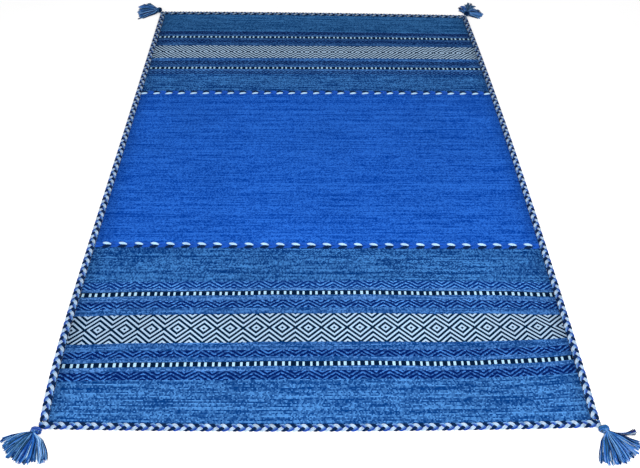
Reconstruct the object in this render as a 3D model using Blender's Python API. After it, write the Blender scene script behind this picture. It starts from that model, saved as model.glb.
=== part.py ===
"""A flat-woven cotton kilim with a plaited edge and a tassel at each corner.

The rug lies flat with its underside at z = 0 and its middle at the origin. Its width runs along X
and its length along Y, and -Y is the near end. Metres.
"""

import math
import random

import bmesh
import bpy
from mathutils import Vector

# The rug, measured corner to corner over the plaited edge
RUG_WIDTH = 1.200
RUG_LENGTH = 1.800
CLOTH_THICKNESS = 0.003
PIECE_GAP = 0.0003

# The plaited edge, a flat plait whose two rows of crossings stand up as two soft ridges
PLAIT_WIDTH = 0.018
PLAIT_HEIGHT = 0.007
PLAIT_SHOULDER = 0.0035
PLAIT_CORNER = (0.0025, 0.0062)
PLAIT_RIDGE = 0.0054
PLAIT_VALLEY = 0.0054

# How far each side bows out past its corners, and where along the side it does so most (-1 to 1)
BOW_DEPTH = {"left": 0.013, "right": 0.014, "front": 0.008, "back": 0.006}
BOW_PEAK = {"left": -0.62, "right": 0.05, "front": 0.0, "back": -0.1}

# Steps along the cloth, so that its sides can follow the bows
CLOTH_STEPS_X = 19
CLOTH_STEPS_Y = 20

# The two twined rows that border the field: paired lines of thick floats, raised on the cloth
TWINE_ROW_Y = (-0.360, 0.352)
TWINE_WIDTH = 0.019
TWINE_RAISE = 0.0032
TWINE_FLOATS = 57
TWINE_LEAN = 0.005

# The weave runs a little aslant at the far row and sags at the sides near the near end. Each has its
# size, the place along the rug where it is greatest and how far from there it fades out.
FAR_SLANT = (0.014, 0.345, 0.50)
NEAR_SAG = (0.026, -0.60, 0.27)

# The share of a float's rise that is left at its ends and between the two lines
FLOAT_END = 0.25
LINE_VALLEY = 0.35

# A tassel's head: wrapped neck, shoulder and the arc of roots that its strands leave. The arc is
# drawn about an apex inside the neck, and the shoulder blends from the neck's end to it. The neck is
# wider than it is high.
HEAD_ROOT_RADIUS = 0.0055
HEAD_NECK_RADIUS = 0.0082
HEAD_WRAP_RADIUS = 0.0096
HEAD_WRAP_START = 0.0020
HEAD_WRAP_PITCH = 0.0044
HEAD_WRAPS = 2
HEAD_WIDTH = 1.25
HEAD_APEX = 0.006
HEAD_ARC_RADIUS = 0.021
HEAD_ARC_HEIGHT = 0.0135
HEAD_ARC_DROP = 0.3
SHOULDER_BLENDS = (0.3, 0.7, 1.0)
SHOULDER_SWELL = 1.1

# Its strands, in columns across the fan and layers from the floor up. They fill this share of
# their room at the roots and at the tips, between the least and the greatest half width.
STRAND_COLUMNS = 12
STRAND_LAYERS = 3
STRAND_HALF_WIDTH = (0.0010, 0.0021)
STRAND_HALF_HEIGHT = 0.0012
STRAND_INSET = 0.0003
ROOT_FILL = 0.72
TIP_FILL = 0.38

# How far a strand wanders in its column, its least share of the reach, and where it has drifted over
WANDER = 0.05
SHORTEST = 0.93
DRIFT_END = 0.6

# Where a strand of each layer is along its length, as (share of reach, height of its middle)
LAYER_PATHS = (
    ((0.30, 0.0012), (0.66, 0.0012), (1.00, 0.0012)),
    ((0.28, 0.0060), (0.60, 0.0045), (0.96, 0.0012)),
    ((0.26, 0.0105), (0.56, 0.0085), (0.86, 0.0048)),
)

# Each tassel's corner, the ways its neck and its fan point, half the fan, its strands' reach and the
# share of it that the outermost ones fall short
TASSELS = {
    "tassel_near_left": {"corner": (-1, -1), "ways": (264, 247), "spread": 54, "reach": (0.074, 0)},
    "tassel_near_right": {"corner": (1, -1), "ways": (272, 294), "spread": 45, "reach": (0.081, 0)},
    "tassel_far_left": {"corner": (-1, 1), "ways": (150, 173), "spread": 50, "reach": (0.083, 0)},
    "tassel_far_right": {"corner": (1, 1), "ways": (70, 43), "spread": 78, "reach": (0.072, 0.3)},
}

# The one lock that lies apart from its fan
STRAY_TASSEL = "tassel_near_right"
STRAY_TURN = math.radians(14)

YARN_COLORS = {
    "cloth": (0.030, 0.105, 0.400, 1.0),
    "plait": (0.250, 0.330, 0.620, 1.0),
    "tassel": (0.045, 0.140, 0.380, 1.0),
}
YARN_ROUGHNESS = 0.9


def clear_scene():
    """Remove the objects that the file opened with."""
    for obj in list(bpy.data.objects):
        bpy.data.objects.remove(obj, do_unlink=True)


def yarn_material(name, color):
    """A matt cotton material of its own for one piece."""
    material = bpy.data.materials.new(name)
    material.use_nodes = True
    shader = material.node_tree.nodes["Principled BSDF"]
    shader.inputs["Base Color"].default_value = color
    shader.inputs["Roughness"].default_value = YARN_ROUGHNESS
    shader.inputs["Metallic"].default_value = 0.0
    material.diffuse_color = color
    return material


def add_piece(name, bm, kind, collection):
    """Turn a finished bmesh into a named object with its material."""
    bmesh.ops.recalc_face_normals(bm, faces=bm.faces)
    mesh = bpy.data.meshes.new(name)
    bm.to_mesh(mesh)
    bm.free()
    mesh.materials.append(yarn_material(name + "_yarn", YARN_COLORS[kind]))
    piece = bpy.data.objects.new(name, mesh)
    collection.objects.link(piece)
    return piece


def bow(side, along):
    """How far a side stands out from its corners' line, at a place from -1 to 1 along it."""
    peak = BOW_PEAK[side]
    skewed = (along - peak) / (1 - peak * along)
    return BOW_DEPTH[side] * (1 - skewed ** 2)


def uneven(x, y):
    """Move a point of the straight rug to its place on the real, slightly bowed one."""
    across = x / (RUG_WIDTH / 2)
    along = y / (RUG_LENGTH / 2)
    out_x = bow("right" if x > 0 else "left", along)
    out_y = bow("back" if y > 0 else "front", across)
    return x + across * out_x, y + along * out_y


def fade(y, middle, reach):
    """1 at a place along the rug, and 0 farther from it than the reach."""
    return max(0, 1 - ((y - middle) / reach) ** 2)


def warp_twined_rows(bm):
    """Slant and sag the twined rows as the weave does there. The rest of the cloth is plain."""
    for vert in bm.verts:
        x, y = vert.co.x, vert.co.y
        if min(abs(y - row_y) for row_y in TWINE_ROW_Y) > TWINE_WIDTH * 0.51:
            continue
        slant = FAR_SLANT[0] * x * fade(y, *FAR_SLANT[1:])
        sag = NEAR_SAG[0] * x ** 2 * fade(y, *NEAR_SAG[1:])
        vert.co.y += slant - sag


def lay_uneven(bm):
    """Bow the straight piece in a bmesh as the rug is bowed."""
    for vert in bm.verts:
        vert.co.x, vert.co.y = uneven(vert.co.x, vert.co.y)


def cut_across(bm, geometry, axis, places):
    """Cut the given geometry with a plane at each place along an axis."""
    normal = Vector((0, 0, 0))
    normal[axis] = 1
    for place in places:
        cut = bmesh.ops.bisect_plane(bm, geom=geometry, plane_co=normal * place, plane_no=normal)
        geometry = list(set(geometry + cut["geom"]) & set(bm.verts[:] + bm.edges[:] + bm.faces[:]))


def even_places(length, steps):
    """The places of the cuts that part a centred length into even steps."""
    return [length * (index / steps - 0.5) for index in range(1, steps)]


def top_strip(bm, row_y):
    """The faces of a twined row's strip on the cloth's top, with their edges and points."""
    faces = [face for face in bm.faces
             if face.normal.z > 0.5 and abs(face.calc_center_median().y - row_y) < TWINE_WIDTH / 2]
    edges = {edge for face in faces for edge in face.edges}
    verts = {vert for face in faces for vert in face.verts}
    return list(verts) + list(edges) + faces


def raise_twined_row(bm, row_y, cloth_width):
    """Raise one twined row: two lines of floats that lean towards each other."""
    cut_across(bm, top_strip(bm, row_y), 0, even_places(cloth_width, TWINE_FLOATS * 3))
    lines = [row_y + TWINE_WIDTH * share for share in (-0.25, 0.0, 0.25)]
    cut_across(bm, top_strip(bm, row_y), 1, lines)
    float_length = cloth_width / TWINE_FLOATS
    for vert in bm.verts:
        across = (vert.co.y - row_y) / (TWINE_WIDTH / 2)
        if vert.co.z < CLOTH_THICKNESS / 2 or abs(across) > 0.9:
            continue
        in_float = (vert.co.x + cloth_width / 2) / float_length % 1
        end = FLOAT_END if min(in_float, 1 - in_float) < 0.1 else 1.0
        ridge = LINE_VALLEY if abs(across) < 0.25 else 1.0
        vert.co.z += TWINE_RAISE * end * ridge
        if abs(vert.co.x) < cloth_width / 2 - float_length / 4:
            vert.co.x += TWINE_LEAN * (0.5 - abs(across))


def build_cloth(collection):
    """The woven cloth inside the plait, with its two raised twined rows."""
    width = RUG_WIDTH - 2 * (PLAIT_WIDTH + PIECE_GAP)
    length = RUG_LENGTH - 2 * (PLAIT_WIDTH + PIECE_GAP)
    bm = bmesh.new()
    bmesh.ops.create_cube(bm, size=1.0)
    bmesh.ops.scale(bm, vec=(width, length, CLOTH_THICKNESS), verts=bm.verts)
    bmesh.ops.translate(bm, vec=(0, 0, CLOTH_THICKNESS / 2), verts=bm.verts)
    row_edges = [row_y + half for row_y in TWINE_ROW_Y for half in (-TWINE_WIDTH / 2, TWINE_WIDTH / 2)]
    places = [place for place in even_places(length, CLOTH_STEPS_Y)
              if min(abs(place - edge) for edge in row_edges) > TWINE_WIDTH]
    cut_across(bm, bm.verts[:] + bm.edges[:] + bm.faces[:], 1, places + row_edges)
    cut_across(bm, bm.verts[:] + bm.edges[:] + bm.faces[:], 0, even_places(width, CLOTH_STEPS_X))
    for row_y in TWINE_ROW_Y:
        raise_twined_row(bm, row_y, width)
    warp_twined_rows(bm)
    lay_uneven(bm)
    return add_piece("kilim_cloth", bm, "cloth", collection)


def plait_section():
    """The plait's section from its inner foot to its outer foot, as (out, up) points."""
    inner = [(0, 0), (0, PLAIT_SHOULDER), PLAIT_CORNER, (PLAIT_RIDGE, PLAIT_HEIGHT)]
    outer = [(PLAIT_WIDTH - out, up) for out, up in reversed(inner)]
    return inner + [(PLAIT_WIDTH / 2, PLAIT_VALLEY)] + outer


def build_plait(name, side, collection):
    """One side's plait: its section drawn along the straight side, then bowed with the rug.

    The front and back plaits run to the rug's corners and the left and right ones end between them.
    """
    sign = -1 if side in ("left", "front") else 1
    on_end = side in ("front", "back")
    edge = (RUG_LENGTH if on_end else RUG_WIDTH) / 2
    span = RUG_WIDTH if on_end else RUG_LENGTH - 2 * (PLAIT_WIDTH + PIECE_GAP)
    steps = CLOTH_STEPS_X if on_end else CLOTH_STEPS_Y
    bm = bmesh.new()
    points = []
    for out, up in plait_section():
        over = sign * (edge - PLAIT_WIDTH + out)
        points.append(bm.verts.new((-span / 2, over, up) if on_end else (over, -span / 2, up)))
    step = Vector((span / steps, 0, 0)) if on_end else Vector((0, span / steps, 0))
    drawn = bmesh.ops.extrude_face_region(bm, geom=[bm.faces.new(points)], use_keep_orig=True)
    face = next(item for item in drawn["geom"] if isinstance(item, bmesh.types.BMFace))
    bmesh.ops.translate(bm, vec=step, verts=face.verts)
    for _ in range(steps - 1):
        face = bmesh.ops.extrude_discrete_faces(bm, faces=[face])["faces"][0]
        bmesh.ops.translate(bm, vec=step, verts=face.verts)
    lay_uneven(bm)
    return add_piece(name, bm, "plait", collection)


def unit(angle):
    """The flat direction of an angle."""
    return Vector((math.cos(angle), math.sin(angle), 0))


def head_rings():
    """The stations along a neck as (distance, radius), with a ridge for each turn of its wrap."""
    rings = [(0.0, HEAD_ROOT_RADIUS), (HEAD_WRAP_START, HEAD_NECK_RADIUS)]
    for turn in range(HEAD_WRAPS):
        ridge = HEAD_WRAP_START + HEAD_WRAP_PITCH * (turn + 0.5)
        rings += [(ridge, HEAD_WRAP_RADIUS), (ridge + HEAD_WRAP_PITCH / 2, HEAD_NECK_RADIUS)]
    return rings


def arc_height(across):
    """The height of the arc of roots, which is less at its ends, -1 and 1."""
    return HEAD_ARC_HEIGHT * (1 - HEAD_ARC_DROP * across ** 2)


class TasselFrame:
    """The flat frame of one tassel: where its neck starts, and the ways its neck and fan point."""

    def __init__(self, name):
        row = TASSELS[name]
        self.name = name
        self.neck, self.fan = (math.radians(way) for way in row["ways"])
        self.spread = math.radians(row["spread"])
        self.reach, self.shortfall = row["reach"]
        corner = Vector((row["corner"][0] * RUG_WIDTH / 2, row["corner"][1] * RUG_LENGTH / 2, 0))
        self.root = corner + unit(self.neck) * PIECE_GAP
        self.apex = self.root + unit(self.neck) * HEAD_APEX

    def neck_point(self, distance, radius, across, up):
        """A point on the neck, oval in section, from square coordinates -1 to 1."""
        side = unit(self.neck + math.pi / 2)
        point = self.root + unit(self.neck) * distance
        point += side * radius * HEAD_WIDTH * across * math.sqrt(1 - up ** 2 / 2)
        rise = min(distance / HEAD_APEX, 1)
        middle = HEAD_ROOT_RADIUS + (HEAD_WRAP_RADIUS - HEAD_ROOT_RADIUS) * rise
        point.z = max(middle, radius) + radius * up * math.sqrt(1 - across ** 2 / 2)
        return point

    def fan_point(self, distance, across, height):
        """A point of the fan at a distance from its apex."""
        point = self.apex + unit(self.fan + self.spread * across) * distance
        point.z = height
        return point

    def arc_point(self, across, up):
        """A point on the arc of roots, which lies flat on the floor and is low at its ends."""
        return self.fan_point(HEAD_ARC_RADIUS, across, arc_height(across) * (up + 1) / 2)


def head_block(frame):
    """The head as a block in columns and layers, shaped to the neck, the shoulder and the arc."""
    rings = head_rings()
    steps = len(rings) + len(SHOULDER_BLENDS) - 1
    bm = bmesh.new()
    bmesh.ops.create_cube(bm, size=2.0)
    everything = bm.verts[:] + bm.edges[:] + bm.faces[:]
    cut_across(bm, everything, 0, even_places(2.0, steps))
    cut_across(bm, bm.verts[:] + bm.edges[:] + bm.faces[:], 1, even_places(2.0, STRAND_COLUMNS))
    cut_across(bm, bm.verts[:] + bm.edges[:] + bm.faces[:], 2, even_places(2.0, STRAND_LAYERS))
    roots = [face for face in bm.faces if face.normal.x > 0.9]
    for vert in bm.verts:
        step = round((vert.co.x + 1) / 2 * steps)
        across, up = vert.co.y, vert.co.z
        end = frame.arc_point(across, up)
        if step < len(rings):
            distance, radius = rings[step]
            vert.co = frame.neck_point(distance, radius, across, up)
        else:
            neck_end = frame.neck_point(rings[-1][0], rings[-1][1] * SHOULDER_SWELL, across, up)
            vert.co = neck_end.lerp(end, SHOULDER_BLENDS[step - len(rings)])
    return bm, roots


def root_cell(face, frame):
    """A root's column and layer, worked out from where its face is on the arc."""
    centre = face.calc_center_median()
    offset = centre - frame.apex
    turn = (math.atan2(offset.y, offset.x) - frame.fan + math.pi) % (2 * math.pi) - math.pi
    across = turn / frame.spread
    column = int((across + 1) / 2 * STRAND_COLUMNS)
    layer = int(centre.z / arc_height(across) * STRAND_LAYERS)
    return min(max(column, 0), STRAND_COLUMNS - 1), min(layer, STRAND_LAYERS - 1)


def strand_half_width(frame, distance):
    """Half a strand's width, which fills a little less than the room it has at that distance."""
    pitch = 2 * frame.spread / STRAND_COLUMNS
    room = max(ROOT_FILL * HEAD_ARC_RADIUS, TIP_FILL * distance) * pitch / 2
    return min(max(room, STRAND_HALF_WIDTH[0]), STRAND_HALF_WIDTH[1])


def strand_stations(frame, column, layer, rng):
    """Where a strand's middle lies on its way to its tip, as (point, turn, half width)."""
    pitch = 2 / STRAND_COLUMNS
    start = pitch * (column + 0.5) - 1
    turn = pitch * (0.5 if layer == 1 and column < STRAND_COLUMNS - 1 else 0.0)
    lone = frame.name == STRAY_TASSEL and column == STRAND_COLUMNS - 1
    stray = STRAY_TURN / frame.spread if lone else 0.0
    wander = pitch * rng.uniform(-WANDER, WANDER)
    reach = frame.reach * (1 - frame.shortfall * start ** 2) * rng.uniform(SHORTEST, 1.0)
    stations = []
    for share, height in LAYER_PATHS[layer]:
        across = start + (turn + wander + stray) * min(share / DRIFT_END, 1)
        distance = HEAD_ARC_RADIUS + (reach - HEAD_ARC_RADIUS) * share
        middle = frame.fan_point(distance, across, height)
        stations.append((middle, frame.fan + frame.spread * across, strand_half_width(frame, distance)))
    return stations


def draw_strand(bm, face, stations):
    """Draw one strand out of its root's face, station by station."""
    for middle, turn, half_width in stations:
        centre = face.calc_center_median()
        side = unit(turn + math.pi / 2)
        face = bmesh.ops.extrude_discrete_faces(bm, faces=[face])["faces"][0]
        for vert in face.verts:
            left = 1 if (vert.co - centre).dot(side) > 0 else -1
            top = 1 if vert.co.z > centre.z else -1
            vert.co = middle + side * left * half_width
            vert.co.z = middle.z + top * STRAND_HALF_HEIGHT


def build_tassel(name, collection):
    """A tassel tied to one corner: its wrapped head and the strands that fan out on the floor."""
    frame = TasselFrame(name)
    rng = random.Random(name)
    bm, roots = head_block(frame)
    bmesh.ops.inset_individual(bm, faces=roots, thickness=STRAND_INSET, depth=0.0)
    cells = sorted((root_cell(face, frame) + (face,) for face in roots), key=lambda cell: cell[:2])
    for column, layer, face in cells:
        draw_strand(bm, face, strand_stations(frame, column, layer, rng))
    return add_piece(name, bm, "tassel", collection)


def main():
    """Build the kilim's nine pieces in their own collection."""
    clear_scene()
    collection = bpy.data.collections.new("kilim")
    bpy.context.scene.collection.children.link(collection)
    build_cloth(collection)
    for side in ("front", "back", "left", "right"):
        build_plait("plait_" + side, side, collection)
    for name in TASSELS:
        build_tassel(name, collection)


main()
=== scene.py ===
"""The looks of a flat-woven cotton kilim with a plaited edge and a tassel at each corner.

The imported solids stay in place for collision. Woven, twined, plaited and tied pieces stand for
them here, in the same frame: the underside at z = 0, the width along X and the length along Y.
"""

import logging
import math
import random
from dataclasses import dataclass
from enum import Enum
from typing import Iterable, Sequence

import bmesh
import bpy
from mathutils import Matrix, Vector

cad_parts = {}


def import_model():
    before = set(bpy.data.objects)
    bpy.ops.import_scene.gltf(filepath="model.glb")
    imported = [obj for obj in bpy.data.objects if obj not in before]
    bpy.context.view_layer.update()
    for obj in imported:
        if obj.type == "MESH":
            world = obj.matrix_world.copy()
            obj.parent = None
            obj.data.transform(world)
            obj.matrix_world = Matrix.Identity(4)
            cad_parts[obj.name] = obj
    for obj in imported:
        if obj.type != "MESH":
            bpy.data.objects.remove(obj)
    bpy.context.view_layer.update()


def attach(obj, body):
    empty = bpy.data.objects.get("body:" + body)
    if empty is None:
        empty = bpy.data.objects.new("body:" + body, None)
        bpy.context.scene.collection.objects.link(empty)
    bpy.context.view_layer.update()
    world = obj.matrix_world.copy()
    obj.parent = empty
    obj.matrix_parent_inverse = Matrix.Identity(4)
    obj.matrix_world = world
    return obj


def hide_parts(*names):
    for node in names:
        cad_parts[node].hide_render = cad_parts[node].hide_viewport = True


BODY = "root"
PLACE_ATTRIBUTE = "laid_place"
Pair = tuple[float, float]
Triple = tuple[float, float, float]
Quad = tuple[float, float, float, float]
LOG = logging.getLogger("kilim")


def linear(red: float, green: float, blue: float) -> Quad:
    """Turn a screen colour of 0 to 255 into a linear colour with full alpha.

    Args:
        red, green, blue: the screen's values.

    Returns:
        The linear colour.
    """
    shares = [value / 255 for value in (red, green, blue)]
    curve = [s / 12.92 if s <= 0.04045 else ((s + 0.055) / 1.055) ** 2.4 for s in shares]
    return (curve[0], curve[1], curve[2], 1.0)


class Dye(Enum):
    """The yarn colours of the plait, the twined rows and the tassels."""

    PEARL = (166, 202, 238)
    WHITE = (156, 177, 200)
    NAVY = (0, 28, 66)
    ROYAL = (6, 58, 146)
    COBALT = (20, 76, 172)
    PERIWINKLE = (66, 90, 148)
    SKY = (94, 140, 192)
    AZURE = (38, 96, 168)
    TEAL = (34, 76, 112)
    PLUM = (30, 27, 61)


class Side(Enum):
    """The four sides of the rug: the signs of their place across and along it."""

    FRONT = (0, -1)
    BACK = (0, 1)
    LEFT = (-1, 0)
    RIGHT = (1, 0)


class Shade:
    """A socket in a finish, which takes part in Python sums."""

    def __init__(self, finish: "Finish", socket: bpy.types.NodeSocket) -> None:
        """Keep the socket and the finish that it belongs to."""
        self.finish = finish
        self.socket = socket

    def maths(self, operation: str, *values: "Shade | float") -> "Shade":
        """One Math node on some values, in their order."""
        return self.finish.node("ShaderNodeMath", {"operation": operation}, list(values))

    def outlet(self, name: str) -> "Shade":
        """Another outlet of the node that this one comes from."""
        return Shade(self.finish, self.socket.node.outputs[name])

    def __add__(self, other: "Shade | float") -> "Shade":
        """The sum."""
        return self.maths("ADD", self, other)

    def __sub__(self, other: "Shade | float") -> "Shade":
        """The difference."""
        return self.maths("SUBTRACT", self, other)

    def __rsub__(self, other: "Shade | float") -> "Shade":
        """The difference from a plain number."""
        return self.maths("SUBTRACT", other, self)

    def __mul__(self, other: "Shade | float") -> "Shade":
        """The product."""
        return self.maths("MULTIPLY", self, other)

    def __truediv__(self, other: "Shade | float") -> "Shade":
        """The quotient."""
        return self.maths("DIVIDE", self, other)

    def __pow__(self, other: "Shade | float") -> "Shade":
        """The power."""
        return self.maths("POWER", self, other)

    def __abs__(self) -> "Shade":
        """The size without its sign."""
        return self.maths("ABSOLUTE", self)

    def __lt__(self, other: "Shade | float") -> "Shade":
        """1 where this is less, and 0 elsewhere."""
        return self.maths("LESS_THAN", self, other)

    def __gt__(self, other: "Shade | float") -> "Shade":
        """1 where this is greater, and 0 elsewhere."""
        return self.maths("GREATER_THAN", self, other)

    def floor(self) -> "Shade":
        """The whole number below."""
        return self.maths("FLOOR", self)

    def turn(self) -> "Shade":
        """What is left over a whole number."""
        return self.maths("FRACT", self)

    def least(self, other: "Shade | float") -> "Shade":
        """The lesser of two."""
        return self.maths("MINIMUM", self, other)

    def arch(self) -> "Shade":
        """A smooth arch, 0 at whole numbers and 1 halfway between them."""
        return abs(self.maths("SINE", self * math.pi))

    def limited(self) -> "Shade":
        """The value kept between 0 and 1."""
        return self.maths("MINIMUM", self.maths("MAXIMUM", self, 0.0), 1.0)


class Finish:
    """A material under construction, and the only place where nodes are made."""

    def __init__(self, name: str) -> None:
        """Start a material with its shader alone.

        Args:
            name: the material's name.
        """
        self.material = bpy.data.materials.new(name)
        self.material.use_nodes = True
        self.tree = self.material.node_tree
        self.shader = self.tree.nodes["Principled BSDF"]

    def node(self, kind: str, settings: dict | None = None, inputs: dict | list | None = None,
             outlet: int | str = 0) -> Shade:
        """Add one node.

        Args:
            kind: the node's type.
            settings: its own settings, or a ramp's interpolation and stops.
            inputs: values or links of its sockets, by name, by index or in order.
            outlet: which outlet to give back.

        Returns:
            The outlet.
        """
        made = self.tree.nodes.new(kind)
        for name, value in (settings or {}).items():
            if name == "stops":
                self.set_stops(made.color_ramp, value)
            elif name == "interpolation":
                made.color_ramp.interpolation = value
            else:
                setattr(made, name, value)
        pairs = inputs.items() if isinstance(inputs, dict) else enumerate(inputs or [])
        for key, value in pairs:
            if isinstance(value, Shade):
                self.tree.links.new(value.socket, made.inputs[key])
            else:
                made.inputs[key].default_value = value
        return Shade(self, made.outputs[outlet])

    @staticmethod
    def set_stops(ramp: bpy.types.ColorRamp, stops: Sequence[tuple]) -> None:
        """Give a ramp its stops, as (place, linear colour) in rising order.

        Args:
            ramp: the ramp.
            stops: its stops.
        """
        while len(ramp.elements) < len(stops):
            ramp.elements.new(1.0)
        for element, (place, colour) in zip(ramp.elements, stops):
            element.position = place
            element.color = colour

    def ramp(self, along: Shade, stops: Sequence[tuple], interpolation: str = "LINEAR") -> Shade:
        """A colour read from a row of stops."""
        return self.node("ShaderNodeValToRGB", {"interpolation": interpolation, "stops": stops}, [along])

    def mix(self, share: Shade | float, first: Shade | tuple, second: Shade | tuple,
            blend: str = "MIX") -> Shade:
        """Blend two colours by a share from 0 to 1."""
        settings = {"data_type": "RGBA", "blend_type": blend}
        return self.node("ShaderNodeMix", settings, {0: share, 6: first, 7: second}, 2)

    def vector(self, x: Shade | float, y: Shade | float, z: Shade | float = 0.0) -> Shade:
        """A vector from three numbers."""
        return self.node("ShaderNodeCombineXYZ", {}, [x, y, z])

    def noise(self, place: Shade, scale: float = 1.0, detail: float = 2.0) -> Shade:
        """Smooth noise about 0.5."""
        return self.node("ShaderNodeTexNoise", {}, {"Vector": place, "Scale": scale, "Detail": detail})

    def scatter(self, place: Shade) -> Shade:
        """A number from 0 to 1 that jumps from cell to cell."""
        return self.node("ShaderNodeTexWhiteNoise", {"noise_dimensions": "3D"}, {"Vector": place})

    def dress(self, colour: Shade, roughness: Shade, height: Shade, relief: float,
              sheen: float) -> bpy.types.Material:
        """Join colour, roughness and relief to the shader.

        Args:
            colour: the surface's colour.
            roughness: how rough it is.
            height: the relief from 0 to 1.
            relief: the height of 1 in metres.
            sheen: the weight of the fibres' soft sheen.

        Returns:
            The finished material.
        """
        bump = self.node("ShaderNodeBump", {}, {"Strength": 1.0, "Distance": relief, "Height": height})
        for name, value in (("Base Color", colour), ("Roughness", roughness), ("Normal", bump)):
            self.tree.links.new(value.socket, self.shader.inputs[name])
        plain = {"Sheen Weight": sheen, "Sheen Roughness": 0.5, "Specular IOR Level": 0.02}
        for name, value in plain.items():
            self.shader.inputs[name].default_value = value
        return self.material


@dataclass(frozen=True)
class YarnFinish:
    """Plied cotton yarn in one dye. Its UV map runs along the yarn and around it."""

    dye: Dye
    turns: float
    plies: int = 2
    relief: float = 0.0003
    fibre_scale: float = 900.0
    patch_scale: float = 60.0
    ply_shade_and_tone_shares: Triple = (0.45, 0.7, 0.9)
    tone_places: Triple = (0.15, 0.55, 0.95)
    dark_share: float = 0.5
    light_share: float = 1.35
    # Painted shade towards the rug's far end: where it is fullest and how light the yarn is painted there.
    far_edge: float = 0.9
    far_painted_light: float = 1.0

    def material(self) -> bpy.types.Material:
        """Make the yarn's material, or give back the one that was made before.

        Returns:
            The material, whose twist has the finish's turns over one length of the UV map.
        """
        name = f"yarn_{self.dye.name.lower()}_{round(self.turns)}"
        if name in bpy.data.materials:
            return bpy.data.materials[name]
        finish = Finish(name)
        around = finish.node("ShaderNodeUVMap", {"uv_map": "UVMap"})
        parts = finish.node("ShaderNodeSeparateXYZ", {}, [around])
        ply = (parts.outlet("X") * self.turns + parts.outlet("Y") * self.plies).arch()
        place = finish.node("ShaderNodeTexCoord", {}, {}, "Object")
        fibres = finish.noise(place, self.fibre_scale, 3.0)
        patches = finish.noise(place, self.patch_scale, 2.0)
        base = linear(*self.dye.value)
        dark = tuple(value * self.dark_share for value in base[:3]) + (1.0,)
        light = tuple(min(value * self.light_share + 0.002, 1.0) for value in base[:3]) + (1.0,)
        # Painted shade and highlight: the yarn's colour is darker in the grooves between the plies and
        # lighter on their crests; fibres and patches add tone that differs at random.
        of_ply, of_fibres, of_patches = self.ply_shade_and_tone_shares
        shade_and_tone = ply * of_ply + fibres * of_fibres + (patches - 0.5) * of_patches
        colour = finish.ramp(shade_and_tone, list(zip(self.tone_places, (dark, base, light))))
        # Painted shade: the yarn is darker towards the rug's far end, standing in for the light falling
        # off there.
        away = finish.node("ShaderNodeSeparateXYZ", {}, [place]).outlet("Y") / self.far_edge
        painted_falloff = 1 - away.limited() * (1 - self.far_painted_light)
        colour = finish.mix(1.0, colour, finish.vector(painted_falloff, painted_falloff, painted_falloff), "MULTIPLY")
        return finish.dress(colour, fibres * 0.2 + 0.75, ply * 0.8 + fibres * 0.4, self.relief, 0.04)


PLAIN = (0.0, 0.0, 0.0)
ZIGZAG = (1.0, 0.0, 0.0)
DOTTED = (0.0, 1.0, 0.0)
DIAMOND = (0.0, 0.0, 1.0)


@dataclass(frozen=True)
class Band:
    """One band: where it starts from the rug's end, its two colours, its figure and its painted light at
    the far end.
    """

    start: float
    ground: tuple[int, int, int]
    figure: tuple[int, int, int]
    kind: Triple = PLAIN
    far_painted_light: float = 1.0


END_ZIGZAG = ((0, 24, 84), (62, 122, 198))
INNER_ZIGZAG = ((0, 26, 88), (74, 138, 214))
LIGHT_STRIPE = ((16, 62, 122), (78, 128, 194))
BLUE_STRIPE = ((4, 50, 109), (68, 120, 186))
DOT_COLOURS = ((2, 22, 49), (164, 202, 226))

BANDS = (
    Band(0.1100, (2, 50, 111), (70, 127, 191)),
    Band(0.1250, *END_ZIGZAG, ZIGZAG, 0.62),
    Band(0.1485, *LIGHT_STRIPE, PLAIN, 0.62),
    Band(0.1598, *DOT_COLOURS, DOTTED, 0.9),
    Band(0.1740, *LIGHT_STRIPE, PLAIN, 0.62),
    Band(0.1862, *END_ZIGZAG, ZIGZAG, 0.62),
    Band(0.2050, *BLUE_STRIPE, PLAIN, 0.65),
    Band(0.2270, (0, 26, 52), (160, 187, 214), DIAMOND),
    Band(0.3105, *BLUE_STRIPE, PLAIN, 1.0),
    Band(0.3300, *INNER_ZIGZAG, ZIGZAG, 0.62),
    Band(0.3528, *LIGHT_STRIPE, PLAIN, 0.8),
    Band(0.3687, *DOT_COLOURS, DOTTED, 0.9),
    Band(0.3832, *LIGHT_STRIPE, PLAIN, 1.1),
    Band(0.3913, (2, 38, 106), (80, 146, 220), ZIGZAG, 0.7),
    Band(0.4143, (0, 45, 106), (61, 120, 186)),
)


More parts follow.
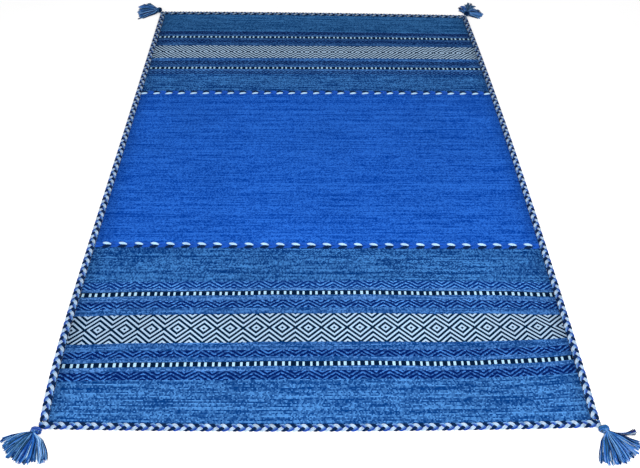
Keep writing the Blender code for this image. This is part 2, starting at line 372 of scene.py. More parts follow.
@dataclass(frozen=True)
class RugShape:
    """The rug's outline: a straight rectangle whose four sides bow out a little."""

    width: float = 1.200
    length: float = 1.800
    plait_width: float = 0.018
    plait_height: float = 0.007
    gap: float = 0.0003
    bow_depth: Quad = (0.008, 0.006, 0.013, 0.014)
    bow_peak: Quad = (0.0, -0.1, -0.62, 0.05)
    far_slant: Triple = (0.014, 0.345, 0.50)
    near_sag: Triple = (0.026, -0.60, 0.27)
    near_lift: Quad = (0.25, 0.31, -0.73, 0.15)
    twined_rows: Pair = (-0.360, 0.352)

    @property
    def cloth_size(self) -> Pair:
        """The width and length of the cloth inside the plait."""
        border = 2 * (self.plait_width + self.gap)
        return self.width - border, self.length - border

    def bow(self, side: Side, along: float) -> float:
        """How far a side stands out from its corners' line, at a place from -1 to 1 along it.

        Args:
            side: the side.
            along: the place.

        Returns:
            The distance.
        """
        index = list(Side).index(side)
        peak = self.bow_peak[index]
        skewed = (along - peak) / (1 - peak * along)
        return self.bow_depth[index] * (1 - skewed ** 2)

    def woven(self, place: Vector) -> Vector:
        """Move a point of the straight weave to where the weft runs aslant, sags or rises, and lay it.

        Args:
            place: the point.

        Returns:
            Its place on the bowed rug.
        """
        size, middle, reach = self.far_slant
        slant = size * place.x * max(0.0, 1 - ((place.y - middle) / reach) ** 2)
        size, middle, reach = self.near_sag
        sag = size * place.x ** 2 * max(0.0, 1 - ((place.y - middle) / reach) ** 2)
        size, start, middle, reach = self.near_lift
        lift = size * max(0.0, place.x - start) ** 2 * max(0.0, 1 - ((place.y - middle) / reach) ** 2)
        return self.uneven(Vector((place.x, place.y + slant - sag + lift, place.z)))

    def uneven(self, place: Vector) -> Vector:
        """Move a point of the straight rug to its place on the bowed one.

        Args:
            place: the point.

        Returns:
            Its new place.
        """
        across = place.x / (self.width / 2)
        along = place.y / (self.length / 2)
        out_x = self.bow(Side.RIGHT if place.x > 0 else Side.LEFT, along)
        out_y = self.bow(Side.BACK if place.y > 0 else Side.FRONT, across)
        return Vector((place.x + across * out_x, place.y + along * out_y, place.z))


@dataclass(frozen=True)
class WeaveFinish:
    """The cloth's weave and its pattern, read from where each point lay on the straight rug."""

    shape: RugShape
    weft: float
    warp: float = 0.0034
    near_offset: float = 0.004
    far_offset: float = 0.0185
    ramp_from: float = 0.11
    ramp_to: float = 0.42
    field_colours: tuple = ((0, 56, 147), (39, 101, 198))
    far_end_colours: tuple = ((0, 47, 96), (53, 106, 160))
    diamond_width: float = 0.060985
    diamond_centre: float = -0.57826
    diamond_ring: float = 0.0140
    diamond_half: float = 0.0418
    diamond_share: float = 0.225
    zigzag_line: float = 0.0104
    zigzag_apex: float = 0.0135
    zigzag_height: float = 0.0200
    zigzag_share: float = 0.20
    zigzag_wander: float = 0.22
    dot_pair: float = 0.0314
    dot_places: Pair = (0.26, 0.705)
    dot_size: Pair = (0.074, 0.03)
    dot_middle: float = 0.0071
    dot_half: float = 0.0055
    middle_row: float = 260.0
    long_streak: Pair = (0.095, 1.9)
    short_streak: Pair = (0.0060, 0.65)
    float_tone: float = 0.95
    row_tone: float = 0.45
    near_tilt: Pair = (0.5, 0.010)
    wobble: Triple = (6.0, 9.0, 0.007)
    fleck_width: float = 0.0021
    broad_scale: float = 4.0
    # Shares of the painted rib and float shade and of the random fleck and broad tone in the cloth's
    # colour.
    shade_and_tone_shares: Quad = (0.22, 0.10, 0.16, 0.3)
    shade_and_tone_base: float = 0.80
    relief: float = 0.0007

    def streaks(self, finish: Finish, x: Shade, row: Shade) -> Shade:
        """The uneven dyeing of the weft: long and short streaks and single floats, about 0.5.

        Args:
            finish: the material.
            x: the place across.
            row: the weft row's number.

        Returns:
            A value from 0, dark, to 1, light.
        """
        long_length, long_tone = self.long_streak
        short_length, short_tone = self.short_streak
        long = finish.noise(finish.vector(x / long_length, row * 3.7), 1.0, 1.0)
        short = finish.noise(finish.vector(x / short_length, row * 5.3, 7.0), 1.0, 1.0)
        column = (x / self.warp + row * 0.5).floor()
        single = finish.scatter(finish.vector(column, row, 3.0))
        whole = finish.scatter(finish.vector(row, 11.0, 5.0))
        return ((long - 0.5) * long_tone + (short - 0.5) * short_tone
                + (single - 0.5) * self.float_tone + (whole - 0.5) * self.row_tone + 0.5).limited()

    def end_distance(self, finish: Finish, x: Shade, y: Shade) -> Shade:
        """How far a point is from where its end's bands are measured from, with weave wobble.

        Args:
            finish: the material.
            x: the place across.
            y: the place along it.

        Returns:
            The distance.
        """
        half = self.shape.length / 2
        level, tilt = self.near_tilt
        near = y + half - self.near_offset + x * (x - level) * tilt
        far = half - self.far_offset - y
        across, apart, depth = self.wobble
        slow = finish.noise(finish.vector(x * across, y.maths("SIGN", y) * apart), 1.0, 1.0)
        return near.least(far) + (slow - 0.5) * depth

    def figures(self, finish: Finish, x: Shade, row: Shade, kind: Shade, local: Shade,
                streak: Shade) -> Shade:
        """The share of figure colour: zigzags, dots or diamonds in their bands, or else streaks.

        Args:
            finish: the material.
            x: the place across.
            row: the weft row's number.
            kind: a colour whose parts mark zigzag, dotted and diamond bands.
            local: the distance from the band's start.
            streak: the streaks' value.

        Returns:
            A value from 0, ground, to 1, figure.
        """
        fold = abs(((x - self.diamond_centre) / self.diamond_width + 0.5).turn() - 0.5)
        rise = local + fold * (2 * self.zigzag_height) - self.zigzag_apex
        wander = (streak - 0.5) * self.zigzag_wander
        zigzag = abs((rise / self.zigzag_line + wander).turn() - 0.5) < self.zigzag_share
        ring = fold * 4 + abs(local - self.diamond_half) / self.diamond_ring
        diamond = abs(ring.turn() - 0.5) < self.diamond_share
        pair = x / self.dot_pair
        one, other = (abs(pair.turn() - place) for place in self.dot_places)
        end = row.maths("SIGN", row - self.middle_row)
        least, more = self.dot_size
        size = finish.scatter(finish.vector((pair * 2).floor(), end, 2.0)) * more + least
        dots = (one.least(other) < size) * (abs(local - self.dot_middle) < self.dot_half)
        kinds = finish.node("ShaderNodeSeparateColor", {}, [kind])
        marks = [kinds.outlet(name) for name in ("Red", "Green", "Blue")]
        plain = 1 - marks[0] - marks[1] - marks[2]
        zigzag = zigzag * (streak * 0.8 + 0.2)
        return zigzag * marks[0] + dots * marks[1] + diamond * marks[2] + (streak ** 1.6) * plain

    def material(self) -> bpy.types.Material:
        """Make the cloth's material.

        Returns:
            A material that reads the place attribute of the cloth's mesh.
        """
        finish = Finish("kilim_weave")
        settings = {"attribute_name": PLACE_ATTRIBUTE, "attribute_type": "GEOMETRY"}
        laid = finish.node("ShaderNodeAttribute", settings, {}, "Vector")
        parts = finish.node("ShaderNodeSeparateXYZ", {}, [laid])
        x, y = parts.outlet("X"), parts.outlet("Y")
        pick = (y + self.shape.cloth_size[1] / 2) / self.weft
        row = pick.floor()
        streak = self.streaks(finish, x, row)
        span = self.ramp_to - self.ramp_from
        distance = self.end_distance(finish, x, y)
        along = (distance - self.ramp_from) / span
        places = [(band.start - self.ramp_from) / span for band in BANDS]

        def banded(colours: Iterable[tuple]) -> Shade:
            """A colour that is even in each band."""
            return finish.ramp(along, list(zip(places, colours)), "CONSTANT")

        ground = banded(linear(*band.ground) for band in BANDS)
        figure = banded(linear(*band.figure) for band in BANDS)
        kind = banded((*band.kind, 1.0) for band in BANDS)
        start = banded((place, place, place, 1.0) for place in places)
        starts = finish.node("ShaderNodeSeparateColor", {}, [start])
        local = distance - (starts * span + self.ramp_from)
        share = self.figures(finish, x, row, kind, local, streak)
        banding = finish.mix(share, ground, figure)
        far_end = (y > 0) * (distance < BANDS[1].start)
        end = finish.mix(streak, *(linear(*colour) for colour in self.far_end_colours))
        # Painted shade: towards the far end each band's colour is multiplied by its far light factor,
        # standing in for the light falling off there.
        far_painted_light = banded((band.far_painted_light,) * 3 + (1.0,) for band in BANDS)
        banding = finish.mix(y > 0, banding, finish.mix(1.0, banding, far_painted_light, "MULTIPLY"))
        banding = finish.mix(far_end, banding, end)
        plain = finish.mix(streak, *(linear(*colour) for colour in self.field_colours))
        near_row, far_row = self.shape.twined_rows
        in_field = (y > near_row) * (y < far_row)
        colour = finish.mix(in_field, banding, plain)
        rib = pick.arch()
        over = (x / self.warp + row * 0.5).arch()
        fleck = finish.scatter(finish.vector((x / self.fleck_width).floor(), (pick * 2).floor(), 9.0))
        wide = self.broad_scale
        broad = finish.noise(finish.vector(x * wide, y * wide, 2.0), 1.0, 2.0)
        # Painted shade: the colour is darker in the grooves between weft ribs and where the weft dips
        # between warp floats; flecks and broad patches add tone that differs at random.
        of_rib, of_float, of_fleck, of_broad = self.shade_and_tone_shares
        light = (rib * of_rib + over * of_float + (fleck - 0.5) * of_fleck
                 + (broad - 0.5) * of_broad + self.shade_and_tone_base)
        shade_and_tone = finish.vector(light, light, light)
        colour = finish.mix(1.0, colour, shade_and_tone, "MULTIPLY")
        height = (rib ** 0.7) * (over * 0.5 + 0.5)
        return finish.dress(colour, fleck * 0.15 + 0.78, height, self.relief, 0.0)


class YarnWork:
    """Round yarns drawn along their points and made into one closed mesh piece."""

    def __init__(self, name: str) -> None:
        """Start with no yarns.

        Args:
            name: the piece's name.
        """
        self.name = name
        self.curve = bpy.data.curves.new(name + "_path", "CURVE")
        self.curve.dimensions = "3D"
        self.curve.bevel_depth = 1.0
        self.curve.bevel_resolution = 1
        self.curve.use_fill_caps = True
        self.curve.twist_mode = "MINIMUM"

    def material_index(self, finish: YarnFinish) -> int:
        """The place of a yarn finish among the piece's materials.

        Args:
            finish: the yarn's finish.

        Returns:
            The material's index.
        """
        material = finish.material()
        if material.name not in self.curve.materials:
            self.curve.materials.append(material)
        return self.curve.materials.find(material.name)

    def draw(self, points: Sequence[Vector], radii: Sequence[float], finish: YarnFinish) -> None:
        """Draw one yarn.

        Args:
            points: the places of its middle.
            radii: its radius at each point.
            finish: its dye and twist.
        """
        spline = self.curve.splines.new("POLY")
        spline.points.add(len(points) - 1)
        spline.points.foreach_set("co", [part for point in points for part in (*point, 1.0)])
        spline.points.foreach_set("radius", list(radii))
        spline.use_smooth = True
        spline.material_index = self.material_index(finish)

    def piece(self) -> bpy.types.Object:
        """Make the yarns a mesh object with its place in its mesh.

        Returns:
            The object, linked to the scene.
        """
        drawn = bpy.data.objects.new(self.name + "_path", self.curve)
        bpy.context.scene.collection.objects.link(drawn)
        mesh = bpy.data.meshes.new_from_object(drawn)
        bpy.data.objects.remove(drawn)
        bpy.data.curves.remove(self.curve)
        mesh.name = self.name
        bm = bmesh.new()
        bm.from_mesh(mesh)
        bmesh.ops.remove_doubles(bm, verts=bm.verts, dist=1e-6)
        bmesh.ops.recalc_face_normals(bm, faces=bm.faces)
        for face in bm.faces:
            face.smooth = True
        bm.to_mesh(mesh)
        bm.free()
        return link_piece(self.name, mesh)


def link_piece(name: str, mesh: bpy.types.Mesh) -> bpy.types.Object:
    """Put a finished mesh in the scene as an object at the origin.

    Args:
        name: the object's name.
        mesh: its mesh.

    Returns:
        The object.
    """
    piece = bpy.data.objects.new(name, mesh)
    bpy.context.scene.collection.objects.link(piece)
    return piece


def flat_unit(angle: float) -> Vector:
    """The flat direction of an angle."""
    return Vector((math.cos(angle), math.sin(angle), 0))


def smooth_path(points: Sequence[Vector], steps: int) -> list[Vector]:
    """Read a smooth line through some points.

    Args:
        points: the points that it passes.
        steps: how many steps it has between two of them.

    Returns:
        The line's own points, ends included.
    """
    padded = [points[0] * 2 - points[1], *points, points[-1] * 2 - points[-2]]
    line = []
    for index in range(1, len(padded) - 2):
        a, b, c, d = padded[index - 1:index + 3]
        for step in range(steps):
            t = step / steps
            line.append(0.5 * (2 * b + (c - a) * t + (2 * a - 5 * b + 4 * c - d) * t ** 2
                               + (3 * b - a - 3 * c + d) * t ** 3))
    line.append(points[-1].copy())
    return line


@dataclass
class WovenCloth:
    """The woven cloth: a thin sheet with a rib for each row of weft."""

    shape: RugShape
    thickness: float = 0.003
    rib_depth: float = 0.0006
    picks: int = 518
    columns: int = 24

    @property
    def weft(self) -> float:
        """The width of one row of weft."""
        return self.shape.cloth_size[1] / self.picks

    def build(self) -> bpy.types.Object:
        """Weave the cloth and lay it uneven.

        Returns:
            The cloth, with each point's place on the straight rug in an attribute.
        """
        width, length = self.shape.cloth_size
        bm = bmesh.new()
        bmesh.ops.create_grid(bm, x_segments=self.columns, y_segments=self.picks * 2, size=0.5)
        bmesh.ops.scale(bm, vec=(width, length, 1), verts=bm.verts)
        made = bmesh.ops.extrude_face_region(bm, geom=bm.faces[:], use_keep_orig=True)["geom"]
        upper = [item for item in made if isinstance(item, bmesh.types.BMVert)]
        for vert in upper:
            half_pick = round((vert.co.y + length / 2) / self.weft * 2)
            vert.co.z = self.thickness - (0 if half_pick % 2 else self.rib_depth)
        place = bm.verts.layers.float_vector.new(PLACE_ATTRIBUTE)
        for vert in bm.verts:
            vert[place] = vert.co
            vert.co = self.shape.woven(vert.co)
        bmesh.ops.recalc_face_normals(bm, faces=bm.faces)
        for face in bm.faces:
            face.smooth = abs(face.normal.z) > 0.5
        mesh = bpy.data.meshes.new("woven_cloth")
        bm.to_mesh(mesh)
        bm.free()
        mesh.materials.append(WeaveFinish(self.shape, self.weft).material())
        cloth = link_piece("woven_cloth", mesh)
        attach(cloth, BODY)
        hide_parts("kilim_cloth")
        return cloth


@dataclass
class TwinedRow:
    """A raised row across the cloth: two lines of thick floats that lean towards each other."""

    shape: RugShape
    name: str
    middle: float
    field_side: int
    first_white: int
    floats: int = 57
    line_offset: float = 0.0047
    lean: float = 0.0021
    overlap: float = 1.06
    yarn_radius: float = 0.0016
    yarn_spread: float = 0.0027
    foot: float = 0.0034
    rise: float = 0.0017
    side_drop: float = 0.0004
    shift: float = 0.0006
    stretch: Pair = (0.96, 1.04)
    navy_spread: float = 1.25
    stations: int = 9

    def dye(self, index: int, line: int) -> Dye:
        """The dye of a float: cobalt at every second place, else pearl by the field or navy.

        Args:
            index: the float's place in its line.
            line: 1 for the far line, -1 for the near one.

        Returns:
            The dye.
        """
        if index % 2 != self.first_white:
            return Dye.COBALT
        return Dye.PEARL if line == self.field_side else Dye.NAVY

    def draw_float(self, work: YarnWork, index: int, line: int, rng: random.Random) -> None:
        """Draw one float as three yarns side by side that dive into the cloth at its ends.

        Args:
            work: the piece.
            index: the float's place in its line.
            line: 1 for the far line, -1 for the near one.
            rng: the row's source of chance.
        """
        width = self.shape.cloth_size[0]
        pitch = width / self.floats
        middle = (index + 0.5) * pitch - width / 2 + rng.uniform(-self.shift, self.shift)
        reach = pitch * self.overlap * rng.uniform(*self.stretch)
        dye = self.dye(index, line)
        finish = YarnFinish(dye, turns=6)
        spread = self.yarn_spread * (self.navy_spread if dye is Dye.NAVY else 1.0)
        limit = width / 2 - self.yarn_radius
        for yarn in (-1, 0, 1):
            points = []
            for station in range(self.stations):
                t = station / (self.stations - 1)
                swell = math.sin(math.pi * t) ** 0.7
                x = middle + (t - 0.5) * reach
                y = self.middle + line * (self.line_offset + self.lean * (1 - 2 * t))
                y += yarn * spread * swell
                z = self.foot + self.rise * swell - abs(yarn) * self.side_drop * swell
                points.append(self.shape.woven(Vector((min(max(x, -limit), limit), y, z))))
            radii = [self.yarn_radius * (0.75 + 0.25 * math.sin(math.pi * s / (self.stations - 1)))
                     for s in range(self.stations)]
            work.draw(points, radii, finish)

    def build(self) -> bpy.types.Object:
        """Draw every float of the row.

        Returns:
            The row.
        """
        work = YarnWork(self.name)
        rng = random.Random(self.name)
        for index in range(self.floats):
            for line in (-1, 1):
                self.draw_float(work, index, line, rng)
        row = work.piece()
        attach(row, BODY)
        return row


@dataclass
class EdgePlait:
    """One side's flat plait of three strands, each of three yarns side by side."""

    shape: RugShape
    side: Side
    node: str
    period: float = 0.0344
    swing: float = 0.0051
    weave: float = 0.0019
    yarn_radius: float = 0.0014
    yarn_spread: float = 0.00245
    stations: int = 14
    # Navy core yarns fill the plait under its strands; their dark colour is painted shade between the
    # plait and the cloth and in the plait's notches.
    shade_core_radius: float = 0.0016
    core_places: tuple[float, ...] = (-0.0052, 0.0, 0.0036, 0.0070)
    shade_core_steps: int = 40
    twist_length: float = 0.009
    # Painted shade: how light the plait's yarns are painted at the rug's far end.
    far_painted_light: float = 0.6

    STRANDS = (
        (Dye.WHITE, Dye.WHITE, Dye.WHITE),
        (Dye.NAVY, Dye.NAVY, Dye.NAVY),
        (Dye.ROYAL, Dye.PERIWINKLE, Dye.SKY),
    )

    def span(self) -> float:
        """The plait's length: the front and back ones run to the corners, the others between.

        Returns:
            The length.
        """
        if self.side in (Side.FRONT, Side.BACK):
            return self.shape.width
        return self.shape.cloth_size[1]

    def place(self, along: float, across: float, height: float) -> Vector:
        """Put a point of the straight plait on the rug: across is positive towards the cloth.

        Args:
            along: the place along the side.
            across: the place across the plait.
            height: the height.

        Returns:
            The point on the bowed rug.
        """
        sign_x, sign_y = self.side.value
        edge = (self.shape.length if sign_y else self.shape.width) / 2 - self.shape.plait_width / 2
        over = edge - across
        flat = (along, sign_y * over) if sign_y else (sign_x * over, along)
        return self.shape.uneven(Vector((*flat, height)))

    def strand(self, phase: float, offset: float) -> list[Vector]:
        """The middle of one yarn along the whole side.

        Args:
            phase: where its strand starts in the plait's round.
            offset: how far it lies beside the middle of its strand.

        Returns:
            Its points, laid uneven with the rug.
        """
        span = self.span() - 2 * self.yarn_radius
        periods = round(span / self.period)
        rate = 2 * math.pi * periods / span
        count = periods * self.stations
        points = []
        for index in range(count + 1):
            along = span * index / count
            angle = rate * along + phase
            slope = self.swing * rate * math.cos(angle)
            stretch = math.hypot(1, slope)
            across = self.swing * math.sin(angle) + offset / stretch
            height = self.shape.plait_height / 2 - self.weave * math.sin(2 * angle)
            shifted = along - span / 2 - offset * slope / stretch
            shifted = min(max(shifted, -span / 2), span / 2)
            points.append(self.place(shifted, across, height))
        return points

    def build(self) -> bpy.types.Object:
        """Plait the side.

        Returns:
            The plait, which stands for its solid.
        """
        work = YarnWork("strands_" + self.node)
        turns = round(self.span() / self.twist_length)
        for index, dyes in enumerate(self.STRANDS):
            phase = -2 * math.pi * (index / len(self.STRANDS))
            for place, dye in zip((-1, 0, 1), dyes):
                points = self.strand(phase, place * self.yarn_spread)
                radii = [self.yarn_radius] * len(points)
                work.draw(points, radii, YarnFinish(dye, turns, far_painted_light=self.far_painted_light))
        # Navy core yarns under the strands: they fill the plait, and their dark colour paints the shade
        # between the plait and the cloth and in its notches.
        span, steps = self.span(), self.shade_core_steps
        for across in self.core_places:
            points = [self.place(span * (step / steps - 0.5), across, self.shade_core_radius)
                      for step in range(steps + 1)]
            radii = [self.shade_core_radius] * len(points)
            work.draw(points, radii, YarnFinish(Dye.NAVY, turns, far_painted_light=self.far_painted_light))
        plait = work.piece()
        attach(plait, BODY)
        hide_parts(self.node)
        return plait


@dataclass(frozen=True)
class LoneLock:
    """A lock that lies apart from its fan or reaches past it: its way, reach, yarns and dye."""

    way: float
    reach: float
    yarns: int
    dye: Dye
    fray: float = 0.05


@dataclass
class Tassel:
    """A tassel tied to one corner: a wrapped neck and a loose fan of yarns on the floor."""

    shape: RugShape
    node: str
    corner: tuple[int, int]
    neck: float
    fan: float
    spread: float
    reach: float
    swell: float
    wrap_dyes: tuple[Dye, Dye]
    fan_dyes: tuple[tuple[Dye, float], ...]
    shortfall: float = 0.0
    lone_locks: tuple[LoneLock, ...] = ()
    root_radius: float = 0.0055
    wrap_radius: float = 0.0096
    width: float = 1.25
    apex: float = 0.006
    neck_end: float = 0.0102
    arc_radius: float = 0.021
    arc_height: float = 0.0135
    arc_drop: float = 0.3
    locks: int = 34
    yarns_in_lock: int = 12
    yarn_radius: float = 0.00068
    wrap_yarn: float = 0.0013
    wrap_turns: int = 2
    wrap_start: float = 0.0012
    wrap_steps: int = 14
    wrap_slope: float = 2.0
    core_places: tuple[float, ...] = (0.0, 0.003, 0.006, 0.009, 0.0122)
    core_shares: tuple[float, ...] = (0.8, 1.0, 1.25, 1.3, 1.2)
    path_shares: tuple[Pair, ...] = ((0.30, 0.78), (0.62, 0.46), (0.84, 0.2), (1.0, 0.08))
    own_way: float = 0.045
    own_reach: Pair = (0.95, 1.03)
    waver: float = 0.012
    lock_reach: Pair = (0.92, 1.04)
    lock_drift: float = 0.06
    lock_sway: float = 0.05
    lock_width: float = 1.5
    tip_share: float = 0.55
    neck_inset: float = 0.0015
    arc_sink: float = 0.0012
    unevenness: Pair = (-0.0006, 0.0010)
    main_share: float = 0.35
    lone_share: float = 0.8
    lone_layers: Pair = (0.3, 1.0)

    def __post_init__(self) -> None:
        """Work out the tassel's own flat frame."""
        self.neck_way = math.radians(self.neck)
        self.fan_way = math.radians(self.fan)
        self.half_fan = math.radians(self.spread)
        corner = Vector((self.corner[0] * self.shape.width / 2, self.corner[1] * self.shape.length / 2, 0))
        self.root = corner + flat_unit(self.neck_way) * self.shape.gap
        self.hub = self.root + flat_unit(self.neck_way) * self.apex

    def neck_point(self, distance: float, radius: float, angle: float) -> Vector:
        """A point about the neck's middle line, which rises from the edge's height off the floor.

        Args:
            distance: how far along the neck.
            radius: how far from its middle.
            angle: the way around it.

        Returns:
            The point.
        """
        rise = min(distance / self.apex, 1)
        middle = self.root_radius + (self.wrap_radius - self.root_radius) * rise
        middle = max(middle, radius + self.wrap_yarn)
        side = flat_unit(self.neck_way + math.pi / 2)
        point = self.root + flat_unit(self.neck_way) * distance
        point += side * radius * self.width * math.cos(angle)
        point.z = middle + radius * math.sin(angle)
        return point

    def fan_point(self, distance: float, across: float, height: float) -> Vector:
        """A point of the fan, by its distance from the hub and its share of the half fan.

        Args:
            distance: the distance.
            across: the share, from -1 to 1.
            height: the height.

        Returns:
            The point.
        """
        point = self.hub + flat_unit(self.fan_way + self.half_fan * across) * distance
        point.z = height
        return point

    def draw_wrap(self, work: YarnWork) -> None:
        """Draw the two yarns wound round the neck, over a core that fills it.

        Args:
            work: the piece.
        """
        start, end = self.wrap_start, self.neck_end
        count = self.wrap_turns * self.wrap_steps
        for turn, dye in enumerate(self.wrap_dyes):
            points = []
            for index in range(count + 1):
                share = index / count
                distance = start + (end - start) * share
                outer = min(self.root_radius + distance * self.wrap_slope, self.wrap_radius)
                angle = 2 * math.pi * (self.wrap_turns * share + turn / len(self.wrap_dyes))
                points.append(self.neck_point(distance, outer - self.wrap_yarn, angle))
            work.draw(points, [self.wrap_yarn] * len(points), YarnFinish(dye, turns=30))
        core = [self.neck_point(distance, 0, 0) for distance in self.core_places]
        core_radii = [self.root_radius * share for share in self.core_shares]
        work.draw(core, core_radii, YarnFinish(self.wrap_dyes[0], turns=4))

    def yarn_path(self, across: float, layer: float, rng: random.Random, reach: float,
                  drift: float, sway: float) -> list[Vector]:
        """The middle of one loose yarn from inside the wrap to its tip.

        Args:
            across: its place in the fan at the roots, from -1 to 1.
            layer: its place from the floor, 0, to the top, 1.
            rng: the tassel's source of chance.
            reach: how far its tip lies from the hub.
            drift: how far its lock turns away, as a share of the half fan.
            sway: how far its lock's middle bends aside, in the same share.

        Returns:
            Its points.
        """
        inside = self.wrap_radius - self.neck_inset
        angle = math.atan2(layer * 2 - 1, -across)
        depth = inside * max(abs(across), abs(layer * 2 - 1))
        arc = self.arc_height * (1 - self.arc_drop * across ** 2)
        floor = self.yarn_radius
        top = max(layer * arc - self.arc_sink, floor)
        own = rng.uniform(-0.5, 0.5) * self.own_way
        length = reach * rng.uniform(*self.own_reach) - self.arc_radius
        stations = [
            self.neck_point(self.apex, depth * 0.8, angle),
            self.neck_point(self.neck_end, depth, angle),
            self.fan_point(self.arc_radius, across * self.swell + own * 0.4, top),
        ]
        for share, keep in self.path_shares:
            swell = self.swell + (1 - self.swell) * share
            bend = across * swell + own + drift * share + sway * math.sin(math.pi * share)
            bend += rng.uniform(-self.waver, self.waver)
            height = max(top * keep + rng.uniform(*self.unevenness), floor)
            stations.append(self.fan_point(self.arc_radius + length * share, bend, height))
        path = smooth_path(stations, 3)
        for point in path:
            point.z = max(point.z, floor)
        return path

    def pick_dye(self, rng: random.Random) -> Dye:
        """Choose a yarn's dye by the tassel's own shares."""
        dyes = [dye for dye, _ in self.fan_dyes]
        return rng.choices(dyes, weights=[share for _, share in self.fan_dyes])[0]

    def draw_lock(self, work: YarnWork, index: int, rng: random.Random) -> None:
        """Draw one lock: yarns that leave the neck side by side and keep together.

        Args:
            work: the piece.
            index: the lock's place in the fan.
            rng: the tassel's source of chance.
        """
        across = (index + 0.5) / self.locks * 2 - 1
        drift = rng.uniform(-self.lock_drift, self.lock_drift)
        sway = rng.uniform(-self.lock_sway, self.lock_sway)
        reach = self.reach * (1 - self.shortfall * across ** 2) * rng.uniform(*self.lock_reach)
        main = Dye.NAVY if abs(across) > 0.9 else self.pick_dye(rng)
        for _ in range(self.yarns_in_lock):
            aside = rng.uniform(-1.0, 1.0) * self.lock_width / self.locks
            place = min(max(across + aside, -1.0), 1.0)
            layer = min(max((index % 3 + rng.uniform(-0.4, 1.4)) / 3, 0.0), 1.0)
            path = self.yarn_path(place, layer, rng, reach, drift, sway)
            dye = main if rng.random() < self.main_share else self.pick_dye(rng)
            self.draw_yarn(work, path, dye, rng)

    def draw_lone_lock(self, work: YarnWork, lock: LoneLock, rng: random.Random) -> None:
        """Draw a lock that turns out of the fan on its way, with a frayed end.

        Args:
            work: the piece.
            lock: the lock.
            rng: the tassel's source of chance.
        """
        target = (lock.way - self.fan) / self.spread
        across = min(max(target, -0.95), 0.95)
        for _ in range(lock.yarns):
            drift = target - across + rng.uniform(-1.0, 1.0) * lock.fray
            layer = rng.uniform(*self.lone_layers)
            path = self.yarn_path(across, layer, rng, lock.reach, drift, 0.0)
            dye = lock.dye if rng.random() < self.lone_share else self.pick_dye(rng)
            self.draw_yarn(work, path, dye, rng)

    def draw_yarn(self, work: YarnWork, path: list[Vector], dye: Dye, rng: random.Random) -> None:
        """Draw one loose yarn, thinner at its tip."""
        radii = [self.yarn_radius * rng.uniform(0.9, 1.1)] * (len(path) - 1)
        work.draw(path, radii + [self.yarn_radius * self.tip_share], YarnFinish(dye, turns=14))

    def build(self) -> bpy.types.Object:
        """Tie the tassel.

        Returns:
            The tassel, which stands for its solid.
        """
        work = YarnWork("yarns_" + self.node)
        rng = random.Random(self.node)
        self.draw_wrap(work)
        for index in range(self.locks):
            self.draw_lock(work, index, rng)
        for lock in self.lone_locks:
            self.draw_lone_lock(work, lock, rng)
        tassel = work.piece()
        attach(tassel, BODY)
        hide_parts(self.node)
        return tassel


@dataclass
class Studio:
    """The camera, the pale floor and the soft lights."""

    camera_place: Triple = (-0.0475, -1.6545, 1.3528)
    pitch_down: float = 45.270
    yaw: float = 2.149
    roll: float = 1.762
    lens: float = 39.43
    floor_size: float = 14.0
    floor_glow: float = 0.10
    world_strength: float = 0.80
    key_place: Triple = (0.15, -1.80, 1.55)
    key_aim: Triple = (0.05, -0.7, 0.0)
    key_size: float = 1.3
    key_power: float = 39.0

    def set_camera(self) -> None:
        """Place the camera where the photographed view is seen from."""
        data = bpy.data.cameras.new("camera")
        data.lens = self.lens
        camera = bpy.data.objects.new("camera", data)
        turn = (Matrix.Rotation(-math.radians(self.yaw), 4, "Z")
                @ Matrix.Rotation(math.radians(90 - self.pitch_down), 4, "X")
                @ Matrix.Rotation(math.radians(self.roll), 4, "Z"))
        camera.matrix_world = Matrix.Translation(self.camera_place) @ turn
        bpy.context.scene.collection.objects.link(camera)
        bpy.context.scene.camera = camera

    def lay_floor(self) -> None:
        """Lay a plain pale floor under the rug."""
        bm = bmesh.new()
        bmesh.ops.create_grid(bm, x_segments=1, y_segments=1, size=self.floor_size / 2)
        mesh = bpy.data.meshes.new("floor")
        bm.to_mesh(mesh)
        bm.free()
        finish = Finish("studio_floor")
        place = finish.node("ShaderNodeTexCoord", {}, {}, "Object")
        grain = finish.noise(place, 3.0, 2.0)
        colour = finish.ramp(grain, [(0.3, (0.95, 0.95, 0.95, 1.0)), (0.7, (0.97, 0.97, 0.97, 1.0))])
        finish.shader.inputs["Emission Color"].default_value = (1.0, 1.0, 1.0, 1.0)
        finish.shader.inputs["Emission Strength"].default_value = self.floor_glow
        mesh.materials.append(finish.dress(colour, grain * 0.1 + 0.8, grain, 0.0001, 0.0))
        link_piece("studio_floor", mesh)

    def hang_lights(self) -> None:
        """Hang one broad soft lamp by the camera and let the room's light fill the rest."""
        lamp = bpy.data.lights.new("key", "AREA")
        lamp.size = self.key_size
        lamp.energy = self.key_power
        key = bpy.data.objects.new("key", lamp)
        way = Vector(self.key_aim) - Vector(self.key_place)
        turn = way.to_track_quat("-Z", "Y").to_matrix().to_4x4()
        key.matrix_world = Matrix.Translation(self.key_place) @ turn
        bpy.context.scene.collection.objects.link(key)
        world = bpy.data.worlds.new("studio")
        world.use_nodes = True
        background = world.node_tree.nodes["Background"]
        background.inputs["Color"].default_value = (1.0, 1.0, 1.0, 1.0)
        background.inputs["Strength"].default_value = self.world_strength
        bpy.context.scene.world = world

    def build(self) -> None:
        """Set up the whole studio."""
        bpy.context.scene.view_settings.view_transform = "Standard"
        self.set_camera()
        self.lay_floor()
        self.hang_lights()


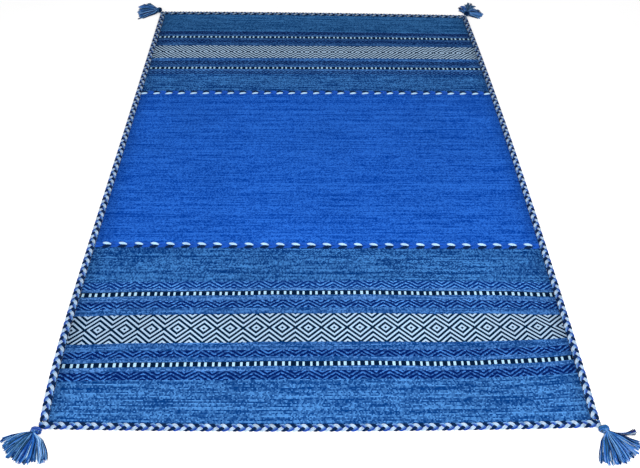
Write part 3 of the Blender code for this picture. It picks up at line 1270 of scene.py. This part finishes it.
def tassels(shape: RugShape) -> list[Tassel]:
    """The four tassels with their ways and yarn colours, near ones first.

    Args:
        shape: the rug's outline.

    Returns:
        The tassels, not yet built.
    """
    blues = ((Dye.ROYAL, 3), (Dye.AZURE, 4), (Dye.SKY, 4), (Dye.NAVY, 6), (Dye.TEAL, 2), (Dye.PEARL, 1))
    pale = ((Dye.AZURE, 4), (Dye.SKY, 4), (Dye.TEAL, 3), (Dye.ROYAL, 2), (Dye.NAVY, 4), (Dye.WHITE, 2))
    far = ((Dye.TEAL, 3), (Dye.NAVY, 2), (Dye.AZURE, 3), (Dye.ROYAL, 1), (Dye.SKY, 5), (Dye.PLUM, 1))
    dark_lock = LoneLock(358, 0.071, 36, Dye.PLUM, 0.12)
    left_locks = (LoneLock(128, 0.088, 24, Dye.TEAL, 0.10), LoneLock(143, 0.095, 24, Dye.NAVY, 0.10),
                  LoneLock(152, 0.096, 50, Dye.AZURE, 0.14), LoneLock(217, 0.094, 16, Dye.NAVY))
    right_locks = (LoneLock(76, 0.108, 10, Dye.TEAL, 0.02), LoneLock(70, 0.108, 10, Dye.NAVY, 0.02),
                   LoneLock(71, 0.090, 120, Dye.TEAL, 0.19), LoneLock(92, 0.078, 44, Dye.AZURE, 0.10),
                   LoneLock(107, 0.066, 40, Dye.PLUM, 0.07))
    return [
        Tassel(shape, "tassel_near_left", (-1, -1), neck=264, fan=247, spread=54, reach=0.071,
               swell=1.2, wrap_dyes=(Dye.ROYAL, Dye.PERIWINKLE), fan_dyes=blues),
        Tassel(shape, "tassel_near_right", (1, -1), neck=272, fan=295, spread=45, reach=0.077,
               swell=1.03, wrap_dyes=(Dye.TEAL, Dye.AZURE), fan_dyes=pale, lone_locks=(dark_lock,)),
        Tassel(shape, "tassel_far_left", (-1, 1), neck=150, fan=173, spread=50, reach=0.083,
               swell=1.1, wrap_dyes=(Dye.NAVY, Dye.TEAL), fan_dyes=far, lone_locks=left_locks),
        Tassel(shape, "tassel_far_right", (1, 1), neck=70, fan=45, spread=75, reach=0.073,
               shortfall=0.38, swell=1.0, wrap_dyes=(Dye.NAVY, Dye.TEAL), fan_dyes=far,
               lone_locks=right_locks),
    ]


def triangles(piece: bpy.types.Object) -> int:
    """How many triangles a piece has."""
    return sum(len(face.vertices) - 2 for face in piece.data.polygons)


def main() -> None:
    """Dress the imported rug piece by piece, and set up the studio."""
    logging.basicConfig(level=logging.INFO, format="%(message)s")
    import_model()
    Studio().build()
    shape = RugShape()
    cloth = WovenCloth(shape).build()
    parts = [
        TwinedRow(shape, "twined_row_near", shape.twined_rows[0], 1, 1).build(),
        TwinedRow(shape, "twined_row_far", shape.twined_rows[1], -1, 0).build(),
    ]
    for side in Side:
        parts.append(EdgePlait(shape, side, "plait_" + side.name.lower()).build())
    for tassel in tassels(shape):
        parts.append(tassel.build())
    for piece in (cloth, *parts):
        LOG.info("%s: %d triangles", piece.name, triangles(piece))
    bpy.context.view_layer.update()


if __name__ == "__main__":
    main()
